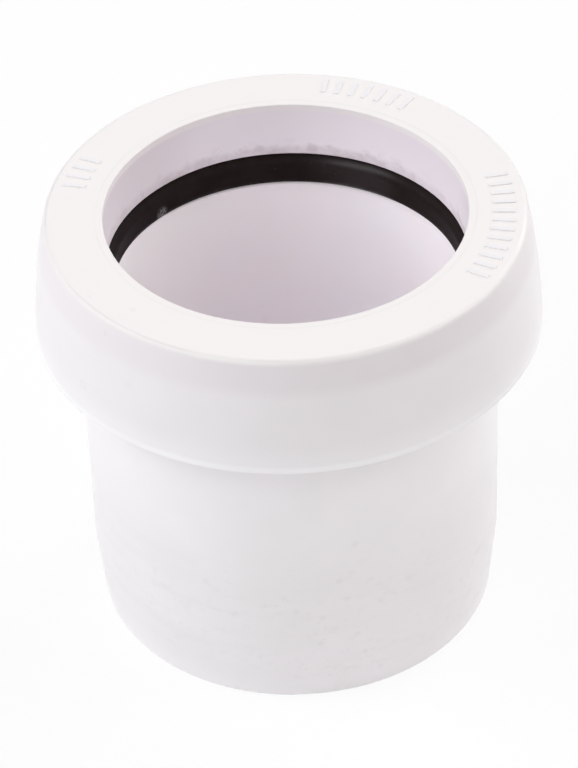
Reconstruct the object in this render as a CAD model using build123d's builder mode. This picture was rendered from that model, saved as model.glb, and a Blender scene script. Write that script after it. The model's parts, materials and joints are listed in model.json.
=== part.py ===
"""Push-fit waste reducer: a 32 mm pipe enters the mouth, the spigot enters a 40 mm fitting.

Millimetres. The origin is the centre of the spigot's end face, and +Z runs up the axis to the mouth.
"""

import os
from math import isclose

from build123d import *

# Pipe socket
PIPE_DIAMETER = 34.6
PIPE_CLEARANCE = 0.2
SOCKET_EDGE = 0.2

# Spigot
SPIGOT_LENGTH = 33.2
SPIGOT_WALL = 3.0
LEAD_IN_LENGTH = 7.4
LEAD_IN_DEPTH = 0.7
SPIGOT_END_RADIUS = 0.4

# Pipe stop at the foot of the socket
STOP_THICKNESS = 3.0
STOP_WIDTH = 1.9

# Rubber seal
SEAL_HEIGHT = 3.4
SEAL_WIDTH = 3.8
SEAL_SQUEEZE = 0.4
SEAL_NOSE_RADIUS = 1.0
SEAL_CORNER = 0.3
SEAL_SIDE_CLEARANCE = 0.2
SEAL_TOP_CLEARANCE = 0.1

# Cup that holds the seal
FLANGE_THICKNESS = 2.6
CUP_WALL = 1.5
CUP_EDGE = 0.3

# Cap that closes the cup
CAP_CLEARANCE = 0.2
LIP_DEPTH = 6.0
LIP_WALL = 2.0
LIP_EDGE = 0.15
ROOF_THICKNESS = 2.6
SKIRT_WALL = 2.2
SKIRT_FLARE = 1.53
SKIRT_BULGE = 0.27
BRIM_WIDTH = 0.12
BRIM_HEIGHT = 0.7
SHOULDER_RADIUS = 0.6
MOUTH_RADIUS = 0.12
BRIM_RADIUS = 0.1

# Snap bead between cup and cap
BEAD_RADIUS = 0.4
BEAD_RISE = 4.4

# Raised ticks on the rim: first angle and number of ticks of each group
TICK_HEIGHT = 0.12
TICK_WIDTH = 0.45
TICK_LENGTH = 2.2
TICK_MARGIN = 0.55
TICK_STEP = 4.0
TICK_GROUPS = [(54.0, 7), (-32.0, 12), (154.0, 4)]

# Radii, from the pipe outwards
pipe_radius = PIPE_DIAMETER / 2
socket_radius = pipe_radius + PIPE_CLEARANCE
stop_radius = socket_radius - STOP_WIDTH
spigot_radius = socket_radius + SPIGOT_WALL
seal_inner_radius = pipe_radius - SEAL_SQUEEZE
seal_outer_radius = seal_inner_radius + SEAL_WIDTH
chamber_radius = seal_outer_radius + SEAL_SIDE_CLEARANCE
cup_radius = chamber_radius + CUP_WALL
lip_radius = socket_radius + LIP_WALL
skirt_inner_radius = cup_radius + CAP_CLEARANCE
brim_radius = skirt_inner_radius + SKIRT_WALL
skirt_foot_radius = brim_radius - BRIM_WIDTH
skirt_top_radius = skirt_foot_radius - SKIRT_FLARE

# Heights, from the spigot's end upwards
seat_height = SPIGOT_LENGTH + FLANGE_THICKNESS
seal_top = seat_height + SEAL_HEIGHT
lip_foot = seal_top + SEAL_TOP_CLEARANCE
rim_height = lip_foot + LIP_DEPTH
roof_height = rim_height - ROOF_THICKNESS
bead_height = SPIGOT_LENGTH + BEAD_RISE
brim_height = SPIGOT_LENGTH + BRIM_HEIGHT


def circle_edges(part, radius, height):
    """The circular edges of the given radius at the given height."""
    return part.edges().filter_by(GeomType.CIRCLE).filter_by(
        lambda edge: isclose(edge.radius, radius, abs_tol=1e-4)
        and isclose(edge.arc_center.Z, height, abs_tol=1e-4)
    )


# Spigot body: socket, pipe stop, spigot and seal cup in one moulding
with BuildPart() as spigot_body:
    with BuildSketch(Plane.XZ):
        with BuildLine():
            Polyline(
                (stop_radius, 0),
                (spigot_radius - LEAD_IN_DEPTH, 0),
                (spigot_radius, LEAD_IN_LENGTH),
                (spigot_radius, SPIGOT_LENGTH),
                (cup_radius, SPIGOT_LENGTH),
                (cup_radius, roof_height),
                (chamber_radius, roof_height),
                (chamber_radius, seat_height),
                (socket_radius, seat_height),
                (socket_radius, STOP_THICKNESS),
                (stop_radius, STOP_THICKNESS),
                close=True,
            )
        make_face()
    revolve(axis=Axis.Z)
    # Snap bead around the cup
    with BuildSketch(Plane.XZ):
        with Locations((cup_radius, bead_height)):
            Circle(BEAD_RADIUS)
    revolve(axis=Axis.Z)
    # Rounded spigot end, eased socket edge and cup rim
    fillet(circle_edges(spigot_body, spigot_radius - LEAD_IN_DEPTH, 0), SPIGOT_END_RADIUS)
    chamfer(circle_edges(spigot_body, socket_radius, seat_height), SOCKET_EDGE)
    chamfer(circle_edges(spigot_body, cup_radius, roof_height), CUP_EDGE)

# Seal ring: square back in the cup, rounded nose towards the pipe
with BuildPart() as seal_ring:
    seal_middle_radius = (seal_inner_radius + seal_outer_radius) / 2
    seal_middle_height = (seat_height + seal_top) / 2
    with BuildSketch(Plane.XZ):
        with Locations((seal_middle_radius, seal_middle_height)):
            Rectangle(SEAL_WIDTH, SEAL_HEIGHT)
    revolve(axis=Axis.Z)
    for height in (seat_height, seal_top):
        fillet(circle_edges(seal_ring, seal_inner_radius, height), SEAL_NOSE_RADIUS)
        fillet(circle_edges(seal_ring, seal_outer_radius, height), SEAL_CORNER)

# Retaining cap: inner lip over the seal, flat rim, flared skirt and thin brim at its foot
with BuildPart() as retaining_cap:
    with BuildSketch(Plane.XZ):
        with BuildLine():
            Polyline(
                (skirt_top_radius, rim_height),
                (socket_radius, rim_height),
                (socket_radius, lip_foot),
                (lip_radius, lip_foot),
                (lip_radius, roof_height),
                (skirt_inner_radius, roof_height),
                (skirt_inner_radius, SPIGOT_LENGTH),
                (brim_radius, SPIGOT_LENGTH),
            )
            skirt_side = SagittaArc(
                (skirt_top_radius, rim_height),
                (skirt_foot_radius, brim_height),
                SKIRT_BULGE,
            )
            TangentArc(skirt_side @ 1, (brim_radius, SPIGOT_LENGTH), tangent=skirt_side % 1)
        make_face()
    revolve(axis=Axis.Z)
    # Groove that the cup's bead snaps into
    with BuildSketch(Plane.XZ):
        with Locations((cup_radius, bead_height)):
            Circle(BEAD_RADIUS + CAP_CLEARANCE)
    revolve(axis=Axis.Z, mode=Mode.SUBTRACT)
    # Rounded shoulder, mouth, lip foot and brim
    fillet(circle_edges(retaining_cap, skirt_top_radius, rim_height), SHOULDER_RADIUS)
    fillet(circle_edges(retaining_cap, socket_radius, rim_height), MOUTH_RADIUS)
    fillet(circle_edges(retaining_cap, socket_radius, lip_foot), LIP_EDGE)
    fillet(circle_edges(retaining_cap, brim_radius, SPIGOT_LENGTH), BRIM_RADIUS)
    # Ticks in three groups around the rim
    tick_middle_radius = skirt_top_radius - SHOULDER_RADIUS - TICK_MARGIN - TICK_LENGTH / 2
    with BuildSketch(Plane.XY.offset(rim_height)):
        for first_angle, ticks in TICK_GROUPS:
            with PolarLocations(
                tick_middle_radius, ticks, start_angle=first_angle, angular_range=ticks * TICK_STEP
            ):
                Rectangle(TICK_LENGTH, TICK_WIDTH)
    extrude(amount=TICK_HEIGHT)

os.makedirs("parts", exist_ok=True)

spigot_body.part.label = "spigot_body"
export_step(spigot_body.part, "parts/spigot_body.step")

seal_ring.part.label = "seal_ring"
export_step(seal_ring.part, "parts/seal_ring.step")

retaining_cap.part.label = "retaining_cap"
export_step(retaining_cap.part, "parts/retaining_cap.step")
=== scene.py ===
"""Looks of the waste reducing connector: finishes, floor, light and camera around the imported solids.

Objects are in metres. The origin is the centre of the spigot's end face, and +Z runs up the axis to
the mouth. Materials work in millimetres, on the object's own coordinates.
"""

import json
import math

import bpy
from mathutils import Matrix, Vector


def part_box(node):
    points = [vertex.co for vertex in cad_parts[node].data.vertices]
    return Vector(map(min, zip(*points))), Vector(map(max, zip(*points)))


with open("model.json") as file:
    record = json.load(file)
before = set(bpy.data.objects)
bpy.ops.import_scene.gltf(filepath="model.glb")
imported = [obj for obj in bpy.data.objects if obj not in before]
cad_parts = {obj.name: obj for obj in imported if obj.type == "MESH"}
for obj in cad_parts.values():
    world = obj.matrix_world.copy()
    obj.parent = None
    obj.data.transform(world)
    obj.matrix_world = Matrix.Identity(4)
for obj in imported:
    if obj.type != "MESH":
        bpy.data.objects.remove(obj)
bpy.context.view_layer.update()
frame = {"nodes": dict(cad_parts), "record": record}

MM = 0.001

# Camera, worked out from the rim, mouth, seal and foot circles in the photograph
PHOTO_HEIGHT = 768
FOCAL_PIXELS = 3629.9
SENSOR = 36.0
CAMERA_ELEVATION = math.radians(39.24)
CAMERA_ROLL = math.radians(-2.04)
CAMERA_DISTANCE = 360.2 * MM
CAMERA_TARGET = Vector((-0.26 * MM, 0.0, 23.80 * MM))
CLIP_START = 1 * MM

# Lamps: compass angle from the camera's side, elevation, width in metres, power in watts and colour
COOL_LIGHT = (0.97, 0.985, 1.0)
PLAIN_LIGHT = (1.0, 0.995, 0.985)
WARM_LIGHT = (1.0, 0.94, 0.90)
LAMPS = {
    "left_lamp": (270, 40, 0.5, 3.2, COOL_LIGHT),
    "front_left_lamp": (325, 38, 0.5, 2.1, COOL_LIGHT),
    "front_right_lamp": (35, 38, 0.5, 0.88, WARM_LIGHT),
    "right_lamp": (90, 34, 0.5, 2.3, PLAIN_LIGHT),
    "back_right_lamp": (135, 30, 0.4, 2.3, COOL_LIGHT),
    "back_left_lamp": (225, 30, 0.4, 0.55, WARM_LIGHT),
    "back_top_lamp": (180, 66, 0.5, 0.55, WARM_LIGHT),
}
LAMP_DISTANCE = 0.8

# World: fill light on the part, and the white that is seen around it
WORLD_LIGHT = 0.01
WHITE_STRENGTH = 1.0
WHITE = (1.0, 1.0, 1.0, 1.0)

# Light bounces, enough to carry light down the white socket
MAX_BOUNCES = 24
DIFFUSE_BOUNCES = 16

# Floor
FLOOR_HALF_WIDTH = 3.0
FLOOR_COLOUR = (0.95, 0.95, 0.95, 1.0)
FLOOR_WHITENESS = 0.85

# Sizes that the finishes line up with, in millimetres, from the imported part
TICK_HEIGHT = 0.12
mounts = {mount["name"]: mount for mount in frame["record"]["mounts"]}
socket_radius = mounts["pipe_socket"]["dims"]["r_mm"]
spigot_radius = mounts["spigot"]["dims"]["r_mm"]
cap_low, cap_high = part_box("retaining_cap")
head_foot = cap_low[2] / MM
head_radius = cap_high[0] / MM
rim_height = cap_high[2] / MM - TICK_HEIGHT
seal_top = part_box("seal_ring")[1][2] / MM

# White plastic colours, linear: outside from shade to white; inside lighter than outside, as painted light
# through the thin walls, from rose to lilac, with a beige stain
BODY_COLOURS = {
    "white": (0.945, 0.917, 0.94, 1.0),
    "shade": (0.925, 0.90, 0.915, 1.0),
    "lilac": (0.975, 0.962, 1.0, 1.0),
    "rose": (0.985, 0.94, 0.965, 1.0),
    "beige": (0.995, 0.975, 0.98, 1.0),
}
CAP_COLOURS = {
    "white": (0.91, 0.878, 0.90, 1.0),
    "shade": (0.89, 0.862, 0.88, 1.0),
    "lilac": (0.987, 0.938, 1.0, 1.0),
    "rose": (0.985, 0.932, 0.98, 1.0),
    "beige": (0.965, 0.915, 0.955, 1.0),
}
# Painted tint on the rim's top face: warmer and darker than the side, to even out the light falling on it
PAINTED_RIM_TINT = (0.905, 0.875, 0.87, 1.0)
SPECK_COLOUR = (0.60, 0.56, 0.56, 1.0)
SMEAR_COLOUR = (0.82, 0.785, 0.80, 1.0)
# Grime, also used as painted shade on the mouth's walls and as painted shadow in the gap above the seal
GRIME_AND_SHADE_COLOUR = (0.70, 0.63, 0.665, 1.0)
# Painted shade under the head's shoulder
SHOULDER_SHADE_COLOUR = (0.79, 0.72, 0.745, 1.0)
# Painted light on the lower part of the head's side
FOOT_LIGHT_COLOUR = (0.96, 0.935, 0.96, 1.0)
# Painted highlight along the brim
BRIM_HIGHLIGHT_COLOUR = (0.995, 0.985, 0.995, 1.0)
# Painted highlight along the mouth's edge
MOUTH_EDGE_HIGHLIGHT_COLOUR = (1.0, 0.965, 0.96, 1.0)
# Painted cool shade on the ticks
TICK_SHADE_COLOUR = (0.85, 0.85, 0.90, 1.0)

# How strongly each finish and each painted light and shade shows, from 0 to 1
RUBBED_STRENGTH = 0.2
SMEAR_STRENGTH = 0.16
SPECK_STRENGTH = 0.135
STRAY_SPECKS = 0.12
FRECKLE_SHARE = 0.6
# Painted shade under the shoulder
SHOULDER_SHADE_STRENGTH = 0.45
# Grime and painted shadow in the gap above the seal
GRIME_AND_SHADOW_STRENGTH = 0.85
SMUDGE_STRENGTH = 0.3
# Painted shade on the mouth's left and right walls
LEFT_SIDE_SHADE_STRENGTH = 0.5
RIGHT_SIDE_SHADE_STRENGTH = 0.22
LINE_STRENGTH = 0.6
# Painted light low on the skirt, painted highlight on the mouth's edge and painted cool shade on the ticks
LIT_FOOT_STRENGTH = 0.7
MOUTH_EDGE_HIGHLIGHT_STRENGTH = 0.8
TICK_SHADE_STRENGTH = 0.5

# Heights and depths of the relief, in millimetres
WAVE_DEPTH = 0.012
GRAIN_DEPTH = 0.0016
LINE_DEPTH = 0.008

# Noise in the plastic: width of its lumps in millimetres, detail, stretch, and a seed that shifts it
CLOUDS = {"size": 7.0}
GRAIN = {"size": 0.3, "detail": 1.0}
WAVES = {"size": 4.5, "detail": 0.0, "seed": 41.0}
SATIN = {"size": 2.5, "seed": 19.0}
STREAKS = {"size": 1.6, "detail": 3.0, "stretch": (0.12, 0.12, 1.0), "seed": 31.0}
FRECKLES = {"size": 0.8, "detail": 3.0, "stretch": (0.7, 0.7, 1.0), "seed": 71.0}
BEIGE_DRIFT = {"size": 9.0, "seed": 57.0}
GRIME_EDGE = {"size": 1.1, "detail": 4.0, "seed": 11.0}
GRIME_PATCHES = {"size": 0.6, "detail": 3.0, "stretch": (0.6, 0.6, 1.0), "seed": 83.0}

# Noise levels at which mottling, rub marks, freckles and specks start and are full
MOTTLE_LEVELS = (0.3, 0.7)
STREAK_LEVELS = (0.50, 0.75)
FRECKLE_LEVELS = (0.54, 0.72)
FRECKLE_CLOUDS = (0.32, 0.55)
SPECK_CLOUDS = (0.38, 0.60)

# Specks: spacing and size in millimetres. Blots of every kind: how ragged they are, and their full core
LARGE_SPECKS = {"spacing": 2.1, "size": 0.5}
SMALL_SPECKS = {"spacing": 1.1, "size": 0.24}
NOISE_MIDDLE = 0.5
BLOT_RAGGEDNESS = 0.8
BLOT_CORE = 0.3

# Roughness of the satin plastic, and how much rougher or smoother the finishes make it
SATIN_LEVELS = (0.3, 0.7)
SATIN_ROUGHNESS = (0.36, 0.46)
SMEAR_ROUGHNESS = 0.08
SPECK_ROUGHNESS = 0.15
GRIME_ROUGHNESS = 0.12
BRIM_SMOOTHNESS = 0.08

# Beige stain on the left of the socket: its edge, and how far that wanders
BEIGE_WANDER = 24.0
BEIGE_START = -2.0
BEIGE_FULL = -14.0

# Zones by height above the spigot's end: where they start and where they are full
END_EDGE = (0.1, 0.6)
RUBBED_FOOT = (0.5, 3.5)
RUBBED_TOP = (22.0, 13.0)
# Inside the socket: painted rose shade deep down, turning to lilac between these heights
LIT_LILAC_HEIGHT = (12.0, 24.0)

# Zones by distance outwards from the socket's wall
INSIDE_EDGE = (0.6, 0.1)
# Width of the painted highlight along the mouth's edge
MOUTH_EDGE_WIDTH = (0.5, 0.1)

# Zones by depth below the rim
MOUTH_TOP = (0.05, 0.3)
# Depths of the painted highlight along the mouth's edge
MOUTH_EDGE_FOOT = (0.9, 0.5)
MOUTH_EDGE_TOP = (0.05, 0.2)
ON_TOP = (0.6, 0.1)
ON_TICK = (-0.01, -0.04)

# Head's side: how far in from the brim it reaches, its painted shade under the shoulder, and the painted
# light on its lower part and painted highlight along the brim
SKIRT_DEPTH = (2.2, 1.9)
SHOULDER_SHADE_FOOT = (4.2, 2.6)
SHOULDER_SHADE_TOP = (0.1, 0.65)
SHOULDER_SHADE_ACROSS = (-15.0, 8.0)
SHOULDER_SHADE_SIDES = (0.8, 1.25)
SHOULDER_SHADE_CLOUDS = (0.25, 0.75)
SHOULDER_SHADE_LEAST = 0.6
LIT_FOOT_BAND = (3.5, 0.3)
BRIM_LINE = 0.4
BRIM_HALF_WIDTH = 0.5
BRIM_HIGHLIGHT_STREAKS = (0.4, 0.6)
BRIM_HIGHLIGHT_LEAST = 0.7

# Mouth's wall: a band above the seal, partly grime and partly painted shadow in the gap over the seal,
# whose edge fades, wanders and breaks, smudges of grime over it, and painted shade on the left and right
# walls
GRIME_HEIGHT = 1.1
GRIME_WANDER = 1.1
GRIME_FADE = 0.5
GRIME_FOOT = (-0.1, 0.0)
GRIME_CLOUDS = (0.62, 0.38)
GRIME_LEAST = 0.5
PATCH_LEVELS = (0.35, 0.60)
PATCH_LEAST = 0.6
SMUDGE_LEVELS = (0.52, 0.66)
SMUDGE_BAND = (2.4, 1.2)
LEFT_SIDE_SHADE = (-5.0, -16.0)
RIGHT_SIDE_SHADE = (4.0, 15.0)

# Tool lines: a groove beside the mouth and a parting line on the shoulder, both broken by the clouds
MOUTH_LINE_OFFSET = 0.75
MOUTH_LINE_HALF_WIDTH = 0.16
MOUTH_LINE_CLOUDS = (0.35, 0.65)
MOUTH_LINE_SHARE = (0.3, 0.8)
PARTING_RADIUS = 22.95
PARTING_HALF_WIDTH = 0.16
PARTING_CLOUDS = (0.60, 0.40)
PARTING_LEAST = 0.3
PARTING_ACROSS = (6.0, -14.0)
PARTING_SIDES = (0.7, 1.5)

# Small dull marks: distance from the axis, angle, height, size and strength
BODY_MARKS = [
    (socket_radius, 98.0, 18.5, 0.6, 0.8),
    (socket_radius, 99.5, 20.2, 0.35, 0.8),
    (spigot_radius, -99.5, 12.7, 0.45, 0.9),
    (spigot_radius, -91.0, 12.0, 0.5, 0.9),
    (spigot_radius, -79.0, 15.5, 0.5, 1.0),
    (spigot_radius, -74.5, 19.8, 0.45, 0.9),
]
CAP_MARKS = [
    (24.17, -129.0, 39.7, 0.65, 0.45),
    (23.5, -136.5, 43.8, 0.4, 0.9),
    (20.6, -134.5, rim_height, 0.4, 0.9),
    (22.3, -146.0, rim_height, 0.3, 0.8),
]

# Round dimple on the side of the head: distance from the axis, angle and height, and its ring
DIMPLE = (24.51, -143.0, 36.6)
DIMPLE_RADIUS = 0.4
DIMPLE_HALF_WIDTH = 0.16

# Rubber colours, linear
RUBBER_BLACK = (0.0155, 0.0106, 0.0104, 1.0)
RUBBER_GREY = (0.0195, 0.014, 0.0145, 1.0)
DUST_COLOUR = (0.05, 0.045, 0.046, 1.0)
FLECK_COLOUR = (0.21, 0.20, 0.20, 1.0)

# Rubber: noise, relief, roughness and gloss, and the nose that pipes have wiped
RUBBER_CLOUDS = {"size": 2.0, "detail": 3.0}
RUBBER_CLOUD_LEVELS = (0.35, 0.65)
RUBBER_GRAIN = {"size": 0.2}
RUBBER_GRAIN_DEPTH = 0.006
RUBBER_WAVES = {"size": 3.0, "detail": 0.0, "seed": 13.0}
RUBBER_WAVE_DEPTH = 0.02
RUBBER_ROUGHNESS = (0.44, 0.54)
RUBBER_GLOSS = (0.025, 0.2)
WIPED_EDGE = (0.4, -0.5)

# Dust on the rubber
DUST_SPECKS = {"spacing": 0.55, "size": 0.10}
DUST_CLOUDS = {"size": 3.0, "seed": 23.0}
DUST_LEVELS = (0.40, 0.70)
DUST_STRENGTH = 0.8
DUST_ROUGHNESS = 0.3

# One pale fleck and one shiny patch on the rubber: distance from the axis, angle and height
FLECK = (17.0, 136.6, 36.8)
FLECK_SIZE = 0.95
FLECK_LEVELS = (0.30, 0.60)
FLECK_ROUGHNESS = 0.25
FLECK_DEPTH = 0.02
SHINE = (17.2, 64.0, 38.2)
SHINE_SIZE = 6.5
SHINE_SMOOTHNESS = 0.16

# Colour sockets of a Mix node
MIX_FIRST_COLOUR = 6
MIX_SECOND_COLOUR = 7
MIX_COLOUR_RESULT = 2


class Recipe:
    """A material's nodes, added one at a time. Values may be numbers, colours or outputs of other nodes."""

    def __init__(self, name):
        self.material = bpy.data.materials.new(name)
        self.material.use_nodes = True
        self.tree = self.material.node_tree
        self.shader = self.tree.nodes["Principled BSDF"]
        coordinates = self.tree.nodes.new("ShaderNodeTexCoord")
        self.place = self.vector("SCALE", coordinates.outputs["Object"])
        self.place.node.inputs["Scale"].default_value = 1 / MM
        flat = self.vector("MULTIPLY", self.place, (1, 1, 0))
        self.radius = self.vector("LENGTH", flat, output="Value")
        split = self.tree.nodes.new("ShaderNodeSeparateXYZ")
        self.tree.links.new(self.place, split.inputs["Vector"])
        self.across = split.outputs["X"]
        self.height = split.outputs["Z"]

    def plug(self, value, socket):
        """Links an output into a socket, or sets the socket to a plain value."""
        if isinstance(value, bpy.types.NodeSocket):
            self.tree.links.new(value, socket)
        else:
            socket.default_value = value

    def vector(self, operation, first, second=None, output="Vector"):
        """A Vector Math node's output."""
        node = self.tree.nodes.new("ShaderNodeVectorMath")
        node.operation = operation
        self.plug(first, node.inputs[0])
        if second is not None:
            self.plug(second, node.inputs[1])
        return node.outputs[output]

    def math(self, operation, first, second=0.0):
        """A Math node's output."""
        node = self.tree.nodes.new("ShaderNodeMath")
        node.operation = operation
        self.plug(first, node.inputs[0])
        self.plug(second, node.inputs[1])
        return node.outputs["Value"]

    def product(self, *values):
        """All the values multiplied together."""
        result = values[0]
        for value in values[1:]:
            result = self.math("MULTIPLY", result, value)
        return result

    def highest(self, *values):
        """The highest of the values."""
        result = values[0]
        for value in values[1:]:
            result = self.math("MAXIMUM", result, value)
        return result

    def spread(self, value, start, end, low=0.0, high=1.0):
        """Rises smoothly from low at start to high at end, and stays level beyond them."""
        node = self.tree.nodes.new("ShaderNodeMapRange")
        node.interpolation_type = "SMOOTHSTEP"
        self.plug(value, node.inputs["Value"])
        node.inputs["From Min"].default_value = start
        node.inputs["From Max"].default_value = end
        node.inputs["To Min"].default_value = low
        node.inputs["To Max"].default_value = high
        return node.outputs["Result"]

    def line(self, value, centre, half_width):
        """1 where value is at centre, falling to 0 at half_width from it."""
        offset = self.math("ABSOLUTE", self.math("SUBTRACT", value, centre))
        return self.spread(offset, half_width, 0.0)

    def beyond_socket(self, edge):
        """Goes from 0 to 1 between two distances outside the socket's wall."""
        start, end = edge
        return self.spread(self.radius, socket_radius + start, socket_radius + end)

    def below_rim(self, edge):
        """Goes from 0 to 1 between two depths below the rim."""
        start, end = edge
        return self.spread(self.height, rim_height - start, rim_height - end)

    def noise(self, size, detail=2.0, stretch=(1, 1, 1), seed=0.0):
        """Cloudy noise with lumps about size millimetres wide, before stretching."""
        node = self.tree.nodes.new("ShaderNodeTexNoise")
        shift = self.vector("ADD", self.vector("MULTIPLY", self.place, stretch), (seed, seed, seed))
        self.tree.links.new(shift, node.inputs["Vector"])
        node.inputs["Scale"].default_value = 1 / size
        node.inputs["Detail"].default_value = detail
        return node.outputs["Fac"]

    def blot(self, distance, size, grain):
        """1 near distance 0, falling to 0 at about size, with an edge made uneven by the grain."""
        ragged = self.product(self.math("SUBTRACT", grain, NOISE_MIDDLE), BLOT_RAGGEDNESS * size)
        return self.spread(self.math("ADD", distance, ragged), size, BLOT_CORE * size)

    def specks(self, grain, spacing, size):
        """Scattered specks: cells of the given spacing, each with a blot of up to that size."""
        node = self.tree.nodes.new("ShaderNodeTexVoronoi")
        self.tree.links.new(self.place, node.inputs["Vector"])
        node.inputs["Scale"].default_value = 1 / spacing
        return self.blot(self.product(node.outputs["Distance"], spacing), size, grain)

    def distance(self, place):
        """Distance from a place given by its distance from the axis, angle and height."""
        from_axis, angle, height = place
        turn = math.radians(angle)
        point = (from_axis * math.cos(turn), from_axis * math.sin(turn), height)
        return self.vector("DISTANCE", self.place, point, output="Value")

    def spot(self, place, size, grain):
        """One blot at a place given by distance from the axis, angle and height."""
        return self.blot(self.distance(place), size, grain)

    def blend(self, factor, first, second):
        """Goes from the first colour to the second as factor goes from 0 to 1."""
        node = self.tree.nodes.new("ShaderNodeMix")
        node.data_type = "RGBA"
        self.plug(factor, node.inputs["Factor"])
        self.plug(first, node.inputs[MIX_FIRST_COLOUR])
        self.plug(second, node.inputs[MIX_SECOND_COLOUR])
        return node.outputs[MIX_COLOUR_RESULT]

    def finish(self, colour, roughness, relief):
        """Joins colour, roughness and a relief in millimetres to the shader."""
        bump = self.tree.nodes.new("ShaderNodeBump")
        bump.inputs["Strength"].default_value = 1.0
        bump.inputs["Distance"].default_value = MM
        self.plug(relief, bump.inputs["Height"])
        self.plug(bump.outputs["Normal"], self.shader.inputs["Normal"])
        self.plug(colour, self.shader.inputs["Base Color"])
        self.plug(roughness, self.shader.inputs["Roughness"])
        return self.material


class Plastic(Recipe):
    """White moulded polypropylene: what the finishes of the body and of the cap have in common."""

    def __init__(self, name, colours):
        super().__init__(name)
        self.colours = colours
        self.clouds = self.noise(**CLOUDS)
        self.grain = self.noise(**GRAIN)
        self.streaks = self.noise(**STREAKS)
        self.mottle = self.spread(self.clouds, *MOTTLE_LEVELS)

    def outer_colour(self):
        """Mottled from shade to white."""
        return self.blend(self.mottle, self.colours["shade"], self.colours["white"])

    def inside_light_shade_and_stain(self, lit_lilac_share=1.0):
        """Inside: painted lighter than the outside, as light that comes through the thin walls, mottled
        from rose to lilac and turning rose, as painted shade, where the lilac share falls, with a beige
        stain on the left.
        """
        share = self.product(self.mottle, lit_lilac_share)
        colour = self.blend(share, self.colours["rose"], self.colours["lilac"])
        wander = self.product(self.noise(**BEIGE_DRIFT), BEIGE_WANDER)
        drift = self.math("ADD", self.across, wander)
        stain = self.spread(drift, BEIGE_WANDER / 2 + BEIGE_START, BEIGE_WANDER / 2 + BEIGE_FULL)
        return self.blend(stain, colour, self.colours["beige"])

    def marks(self, places):
        """Single dull marks, each with its own strength."""
        blots = []
        for from_axis, angle, height, size, strength in places:
            blot = self.spot((from_axis, angle, height), size, self.grain)
            blots.append(self.product(blot, strength))
        return self.highest(*blots)

    def satin(self):
        """Roughness of the plain plastic, with cloudy variation."""
        smooth, rough = SATIN_ROUGHNESS
        return self.spread(self.noise(**SATIN), *SATIN_LEVELS, low=smooth, high=rough)

    def moulded_relief(self):
        """Slow moulding waves and a satin grain."""
        waves = self.product(self.noise(**WAVES), WAVE_DEPTH)
        return self.math("ADD", waves, self.product(self.grain, GRAIN_DEPTH))


def body_plastic():
    """Spigot body: painted lighter inside with painted rose shade deep in the socket, and rubbed, freckled
    and speckled towards the spigot's end.
    """
    recipe = Plastic("body_plastic", BODY_COLOURS)
    height = recipe.height

    # Zones: inside the socket, and the rubbed end of the spigot
    inside = recipe.product(recipe.beyond_socket(INSIDE_EDGE), recipe.spread(height, *END_EDGE))
    outside = recipe.math("SUBTRACT", 1.0, inside)
    rubbed = recipe.product(
        recipe.spread(height, *RUBBED_FOOT),
        recipe.spread(height, *RUBBED_TOP),
        outside,
    )

    # Colour: white outside; inside painted lighter, as light through the thin wall, with painted rose shade
    # deep in the socket turning to lilac higher up
    lit_lilac_share = recipe.spread(height, *LIT_LILAC_HEIGHT)
    colour = recipe.blend(inside, recipe.outer_colour(), recipe.inside_light_shade_and_stain(lit_lilac_share))

    # Rub marks around the spigot's end
    smear = recipe.product(recipe.spread(recipe.streaks, *STREAK_LEVELS), rubbed)
    colour = recipe.blend(recipe.product(rubbed, RUBBED_STRENGTH), colour, SMEAR_COLOUR)
    colour = recipe.blend(recipe.product(smear, SMEAR_STRENGTH), colour, SMEAR_COLOUR)

    # Specks and freckles, thickest there, and single dull marks
    large_specks = recipe.specks(recipe.grain, **LARGE_SPECKS)
    small_specks = recipe.specks(recipe.grain, **SMALL_SPECKS)
    specks = recipe.product(
        recipe.highest(large_specks, small_specks),
        recipe.spread(recipe.clouds, *SPECK_CLOUDS),
        recipe.spread(rubbed, 0.0, 1.0, low=STRAY_SPECKS),
    )
    freckles = recipe.product(
        recipe.spread(recipe.noise(**FRECKLES), *FRECKLE_LEVELS),
        recipe.spread(recipe.clouds, *FRECKLE_CLOUDS),
        rubbed,
        FRECKLE_SHARE,
    )
    specks = recipe.highest(specks, freckles, recipe.marks(BODY_MARKS))
    colour = recipe.blend(recipe.product(specks, SPECK_STRENGTH), colour, SPECK_COLOUR)

    # Roughness: duller where rubbed or specked
    roughness = recipe.math("ADD", recipe.satin(), recipe.product(smear, SMEAR_ROUGHNESS))
    roughness = recipe.math("ADD", roughness, recipe.product(specks, SPECK_ROUGHNESS))
    return recipe.finish(colour, roughness, recipe.moulded_relief())


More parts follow.
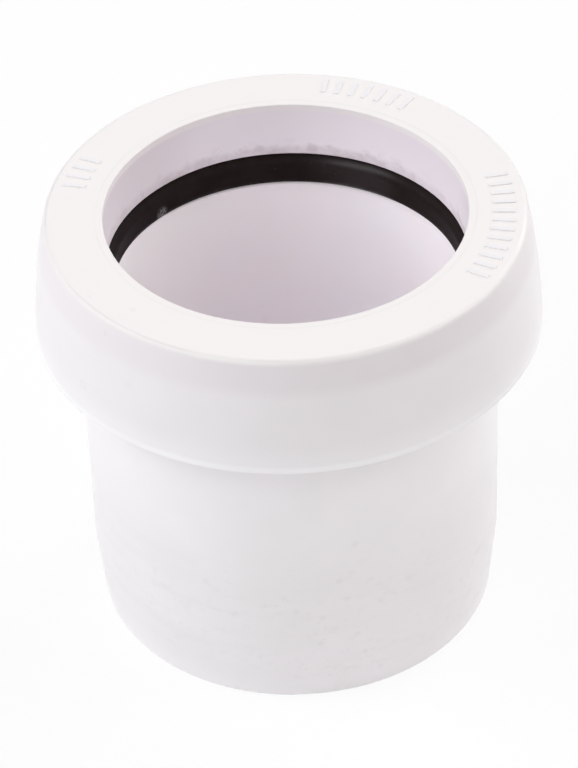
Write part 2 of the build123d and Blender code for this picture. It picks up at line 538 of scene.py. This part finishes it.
def cap_plastic():
    """Retaining cap: rim top painted a warm tint, painted shade under the shoulder, painted light low on
    the skirt, painted highlights on the brim and the mouth's edge, and grime and painted shade inside the
    mouth.
    """
    recipe = Plastic("cap_plastic", CAP_COLOURS)
    height = recipe.height
    clouds = recipe.clouds

    # Zones: mouth's wall and its top edge, rim, ticks and skirt
    inside = recipe.product(recipe.beyond_socket(INSIDE_EDGE), recipe.below_rim(MOUTH_TOP))
    mouth_edge_highlight = recipe.product(
        recipe.beyond_socket(MOUTH_EDGE_WIDTH),
        recipe.below_rim(MOUTH_EDGE_FOOT),
        recipe.below_rim(MOUTH_EDGE_TOP),
    )
    on_top = recipe.below_rim(ON_TOP)
    on_tick = recipe.below_rim(ON_TICK)
    skirt_start, skirt_end = SKIRT_DEPTH
    on_skirt = recipe.spread(recipe.radius, head_radius - skirt_start, head_radius - skirt_end)

    # Colour: white side, rim top painted a warmer, darker tint to even out the light falling on it, and the
    # mouth painted lighter and lilac
    outer = recipe.blend(on_top, recipe.outer_colour(), PAINTED_RIM_TINT)
    colour = recipe.blend(inside, outer, recipe.inside_light_shade_and_stain())

    # Painted shade under the shoulder, stronger to the right, and single dull marks
    left_share, right_share = SHOULDER_SHADE_SIDES
    shoulder_shade = recipe.product(
        recipe.below_rim(SHOULDER_SHADE_FOOT),
        recipe.below_rim(SHOULDER_SHADE_TOP),
        recipe.spread(recipe.across, *SHOULDER_SHADE_ACROSS, low=left_share, high=right_share),
        recipe.spread(clouds, *SHOULDER_SHADE_CLOUDS, low=SHOULDER_SHADE_LEAST),
        on_skirt,
    )
    colour = recipe.blend(recipe.product(shoulder_shade, SHOULDER_SHADE_STRENGTH), colour, SHOULDER_SHADE_COLOUR)
    marks = recipe.marks(CAP_MARKS)
    colour = recipe.blend(recipe.product(marks, SPECK_STRENGTH), colour, SPECK_COLOUR)

    # Mouth's wall: painted shade on the left and right sides, smudges of grime, and a ragged band just
    # above the seal that is partly grime and partly painted shadow in the gap over the seal
    above_seal = recipe.math("SUBTRACT", height, seal_top)
    mouth_wall = recipe.product(inside, recipe.spread(above_seal, *GRIME_FOOT))
    ragged = recipe.noise(**GRIME_EDGE)
    # Painted shade on the mouth's left and right walls
    left_side_shade = recipe.product(recipe.spread(recipe.across, *LEFT_SIDE_SHADE), LEFT_SIDE_SHADE_STRENGTH)
    right_side_shade = recipe.product(recipe.spread(recipe.across, *RIGHT_SIDE_SHADE), RIGHT_SIDE_SHADE_STRENGTH)
    stain = recipe.product(recipe.highest(left_side_shade, right_side_shade), mouth_wall)
    smudge = recipe.product(
        recipe.spread(ragged, *SMUDGE_LEVELS),
        recipe.spread(above_seal, *SMUDGE_BAND),
        mouth_wall,
    )
    edge = recipe.math("SUBTRACT", above_seal, recipe.product(ragged, GRIME_WANDER))
    edge_middle = GRIME_HEIGHT - GRIME_WANDER / 2
    # Partly grime, partly painted shadow in the gap over the seal
    band = recipe.product(
        recipe.spread(edge, edge_middle + GRIME_FADE, edge_middle - GRIME_FADE),
        recipe.spread(clouds, *GRIME_CLOUDS, low=GRIME_LEAST),
        recipe.spread(recipe.noise(**GRIME_PATCHES), *PATCH_LEVELS, low=PATCH_LEAST),
        mouth_wall,
    )
    colour = recipe.blend(stain, colour, GRIME_AND_SHADE_COLOUR)
    colour = recipe.blend(recipe.product(smudge, SMUDGE_STRENGTH), colour, GRIME_AND_SHADE_COLOUR)
    colour = recipe.blend(recipe.product(band, GRIME_AND_SHADOW_STRENGTH), colour, GRIME_AND_SHADE_COLOUR)

    # Tool lines: a fine groove beside the mouth, a parting line on the shoulder and a round dimple
    least, most = MOUTH_LINE_SHARE
    mouth_line = recipe.product(
        recipe.line(recipe.radius, socket_radius + MOUTH_LINE_OFFSET, MOUTH_LINE_HALF_WIDTH),
        recipe.spread(clouds, *MOUTH_LINE_CLOUDS, low=least, high=most),
        on_top,
    )
    right_share, left_share = PARTING_SIDES
    parting = recipe.product(
        recipe.line(recipe.radius, PARTING_RADIUS, PARTING_HALF_WIDTH),
        recipe.spread(clouds, *PARTING_CLOUDS, low=PARTING_LEAST),
        recipe.spread(recipe.across, *PARTING_ACROSS, low=right_share, high=left_share),
        on_top,
    )
    dimple = recipe.line(recipe.distance(DIMPLE), DIMPLE_RADIUS, DIMPLE_HALF_WIDTH)
    lines = recipe.highest(mouth_line, parting, dimple)
    colour = recipe.blend(recipe.product(lines, LINE_STRENGTH), colour, SMEAR_COLOUR)

    # Painted light on the lower part of the skirt, painted highlights along the brim and the mouth's edge,
    # and painted cool shade on the ticks
    lit_foot_start, lit_foot_end = LIT_FOOT_BAND
    lit_foot = recipe.product(recipe.spread(height, head_foot + lit_foot_start, head_foot + lit_foot_end), on_skirt)
    brim = recipe.product(recipe.line(height, head_foot + BRIM_LINE, BRIM_HALF_WIDTH), on_skirt)
    broken_brim_highlight = recipe.product(brim, recipe.spread(recipe.streaks, *BRIM_HIGHLIGHT_STREAKS, low=BRIM_HIGHLIGHT_LEAST))
    colour = recipe.blend(recipe.product(lit_foot, LIT_FOOT_STRENGTH), colour, FOOT_LIGHT_COLOUR)
    colour = recipe.blend(broken_brim_highlight, colour, BRIM_HIGHLIGHT_COLOUR)
    colour = recipe.blend(recipe.product(mouth_edge_highlight, MOUTH_EDGE_HIGHLIGHT_STRENGTH), colour, MOUTH_EDGE_HIGHLIGHT_COLOUR)
    colour = recipe.blend(recipe.product(on_tick, TICK_SHADE_STRENGTH), colour, TICK_SHADE_COLOUR)

    # Roughness: duller in marks and grime, smoother on the brim
    roughness = recipe.math("ADD", recipe.satin(), recipe.product(marks, SPECK_ROUGHNESS))
    roughness = recipe.math("ADD", roughness, recipe.product(band, GRIME_ROUGHNESS))
    roughness = recipe.math("SUBTRACT", roughness, recipe.product(brim, BRIM_SMOOTHNESS))

    # Relief: tool lines cut into the moulded surface
    relief = recipe.math("SUBTRACT", recipe.moulded_relief(), recipe.product(lines, LINE_DEPTH))
    return recipe.finish(colour, roughness, relief)


def black_rubber():
    """Seal rubber: dull black, greyer on its wiped nose, with dust, a pale fleck and a shiny patch."""
    recipe = Recipe("black_rubber")

    # Patterns and places
    cloud = recipe.spread(recipe.noise(**RUBBER_CLOUDS), *RUBBER_CLOUD_LEVELS)
    grain = recipe.noise(**RUBBER_GRAIN)
    wiped = recipe.beyond_socket(WIPED_EDGE)
    dust_zone = recipe.spread(recipe.noise(**DUST_CLOUDS), *DUST_LEVELS)
    dust = recipe.product(recipe.specks(grain, **DUST_SPECKS), dust_zone)
    fleck = recipe.product(recipe.spot(FLECK, FLECK_SIZE, grain), recipe.spread(grain, *FLECK_LEVELS))
    shine = recipe.spread(recipe.distance(SHINE), SHINE_SIZE, 0.0)

    # Colour: black to grey, then dust and the fleck
    colour = recipe.blend(recipe.product(wiped, cloud), RUBBER_BLACK, RUBBER_GREY)
    colour = recipe.blend(recipe.product(dust, DUST_STRENGTH), colour, DUST_COLOUR)
    colour = recipe.blend(fleck, colour, FLECK_COLOUR)

    # Roughness and gloss: smoother and glossier in the shiny patch, duller in dust and the fleck
    smooth, rough = RUBBER_ROUGHNESS
    roughness = recipe.spread(cloud, 0.0, 1.0, low=smooth, high=rough)
    roughness = recipe.math("SUBTRACT", roughness, recipe.product(shine, SHINE_SMOOTHNESS))
    roughness = recipe.math("ADD", roughness, recipe.product(dust, DUST_ROUGHNESS))
    roughness = recipe.math("ADD", roughness, recipe.product(fleck, FLECK_ROUGHNESS))
    dull, glossy = RUBBER_GLOSS
    gloss = recipe.spread(shine, 0.0, 1.0, low=dull, high=glossy)
    recipe.plug(gloss, recipe.shader.inputs["Specular IOR Level"])

    # Relief: grain, slow waves and the raised fleck
    waves = recipe.product(recipe.noise(**RUBBER_WAVES), RUBBER_WAVE_DEPTH)
    relief = recipe.math("ADD", recipe.product(grain, RUBBER_GRAIN_DEPTH), waves)
    relief = recipe.math("ADD", relief, recipe.product(fleck, FLECK_DEPTH))
    return recipe.finish(colour, roughness, relief)


def dress(node, material):
    """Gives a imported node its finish."""
    mesh = frame["nodes"][node].data
    mesh.materials.clear()
    mesh.materials.append(material)


def make_camera():
    """The camera at the photograph's angle."""
    forward = Vector((0, math.cos(CAMERA_ELEVATION), -math.sin(CAMERA_ELEVATION)))
    level_right = Vector((1, 0, 0))
    level_up = level_right.cross(forward)
    right = math.cos(CAMERA_ROLL) * level_right + math.sin(CAMERA_ROLL) * level_up
    up = math.cos(CAMERA_ROLL) * level_up - math.sin(CAMERA_ROLL) * level_right
    data = bpy.data.cameras.new("camera")
    data.sensor_width = SENSOR
    data.lens = FOCAL_PIXELS * SENSOR / PHOTO_HEIGHT
    data.clip_start = CLIP_START
    camera = bpy.data.objects.new("camera", data)
    turn = Matrix((right, up, -forward)).transposed().to_4x4()
    camera.matrix_world = Matrix.Translation(CAMERA_TARGET - CAMERA_DISTANCE * forward) @ turn
    bpy.context.scene.collection.objects.link(camera)
    bpy.context.scene.camera = camera


def make_lamp(name, compass, elevation, width, power, colour):
    """A square soft lamp that looks at the middle of the part."""
    around = math.radians(compass)
    rise = math.radians(elevation)
    direction = Vector(
        (math.sin(around) * math.cos(rise), -math.cos(around) * math.cos(rise), math.sin(rise))
    )
    data = bpy.data.lights.new(name, "AREA")
    data.size = width
    data.energy = power
    data.color = colour
    lamp = bpy.data.objects.new(name, data)
    lamp.location = Vector((0, 0, CAMERA_TARGET.z)) + LAMP_DISTANCE * direction
    lamp.rotation_mode = "QUATERNION"
    lamp.rotation_quaternion = direction.to_track_quat("Z", "Y")
    bpy.context.scene.collection.objects.link(lamp)


def seen_directly(tree):
    """1 for rays that show a surface itself, in the picture, a gloss or glass, and 0 for the rest."""
    path = tree.nodes.new("ShaderNodeLightPath")
    total = path.outputs["Is Camera Ray"]
    for name in ("Is Glossy Ray", "Is Transmission Ray"):
        both = tree.nodes.new("ShaderNodeMath")
        both.operation = "MAXIMUM"
        tree.links.new(total, both.inputs[0])
        tree.links.new(path.outputs[name], both.inputs[1])
        total = both.outputs["Value"]
    return total


def make_world():
    """White where it is seen, and only a little fill light where it is not."""
    world = bpy.data.worlds.new("world")
    bpy.context.scene.world = world
    world.use_nodes = True
    tree = world.node_tree
    fill = tree.nodes["Background"]
    fill.inputs["Color"].default_value = WHITE
    fill.inputs["Strength"].default_value = WORLD_LIGHT
    white = tree.nodes.new("ShaderNodeBackground")
    white.inputs["Color"].default_value = WHITE
    white.inputs["Strength"].default_value = WHITE_STRENGTH
    both = tree.nodes.new("ShaderNodeMixShader")
    tree.links.new(seen_directly(tree), both.inputs["Fac"])
    tree.links.new(fill.outputs["Background"], both.inputs[1])
    tree.links.new(white.outputs["Background"], both.inputs[2])
    tree.links.new(both.outputs["Shader"], tree.nodes["World Output"].inputs["Surface"])


def make_floor():
    """A pale floor that is nearly white in the picture and keeps the part's shadow."""
    corner = FLOOR_HALF_WIDTH
    mesh = bpy.data.meshes.new("floor")
    corners = [(-corner, -corner, 0), (corner, -corner, 0), (corner, corner, 0), (-corner, corner, 0)]
    mesh.from_pydata(corners, [], [(0, 1, 2, 3)])
    floor = bpy.data.objects.new("floor", mesh)
    bpy.context.scene.collection.objects.link(floor)
    material = bpy.data.materials.new("floor")
    material.use_nodes = True
    tree = material.node_tree
    tree.nodes.remove(tree.nodes["Principled BSDF"])
    paint = tree.nodes.new("ShaderNodeBsdfDiffuse")
    paint.inputs["Color"].default_value = FLOOR_COLOUR
    white = tree.nodes.new("ShaderNodeEmission")
    white.inputs["Strength"].default_value = WHITE_STRENGTH
    share = tree.nodes.new("ShaderNodeMath")
    share.operation = "MULTIPLY"
    tree.links.new(seen_directly(tree), share.inputs[0])
    share.inputs[1].default_value = FLOOR_WHITENESS
    both = tree.nodes.new("ShaderNodeMixShader")
    tree.links.new(share.outputs["Value"], both.inputs["Fac"])
    tree.links.new(paint.outputs["BSDF"], both.inputs[1])
    tree.links.new(white.outputs["Emission"], both.inputs[2])
    tree.links.new(both.outputs["Shader"], tree.nodes["Material Output"].inputs["Surface"])
    mesh.materials.append(material)


dress("spigot_body", body_plastic())
dress("retaining_cap", cap_plastic())
dress("seal_ring", black_rubber())

make_camera()
for lamp_name, settings in LAMPS.items():
    make_lamp(lamp_name, *settings)
make_world()
make_floor()

scene = bpy.context.scene
scene.view_settings.view_transform = "Standard"
scene.cycles.max_bounces = MAX_BOUNCES
scene.cycles.diffuse_bounces = DIFFUSE_BOUNCES
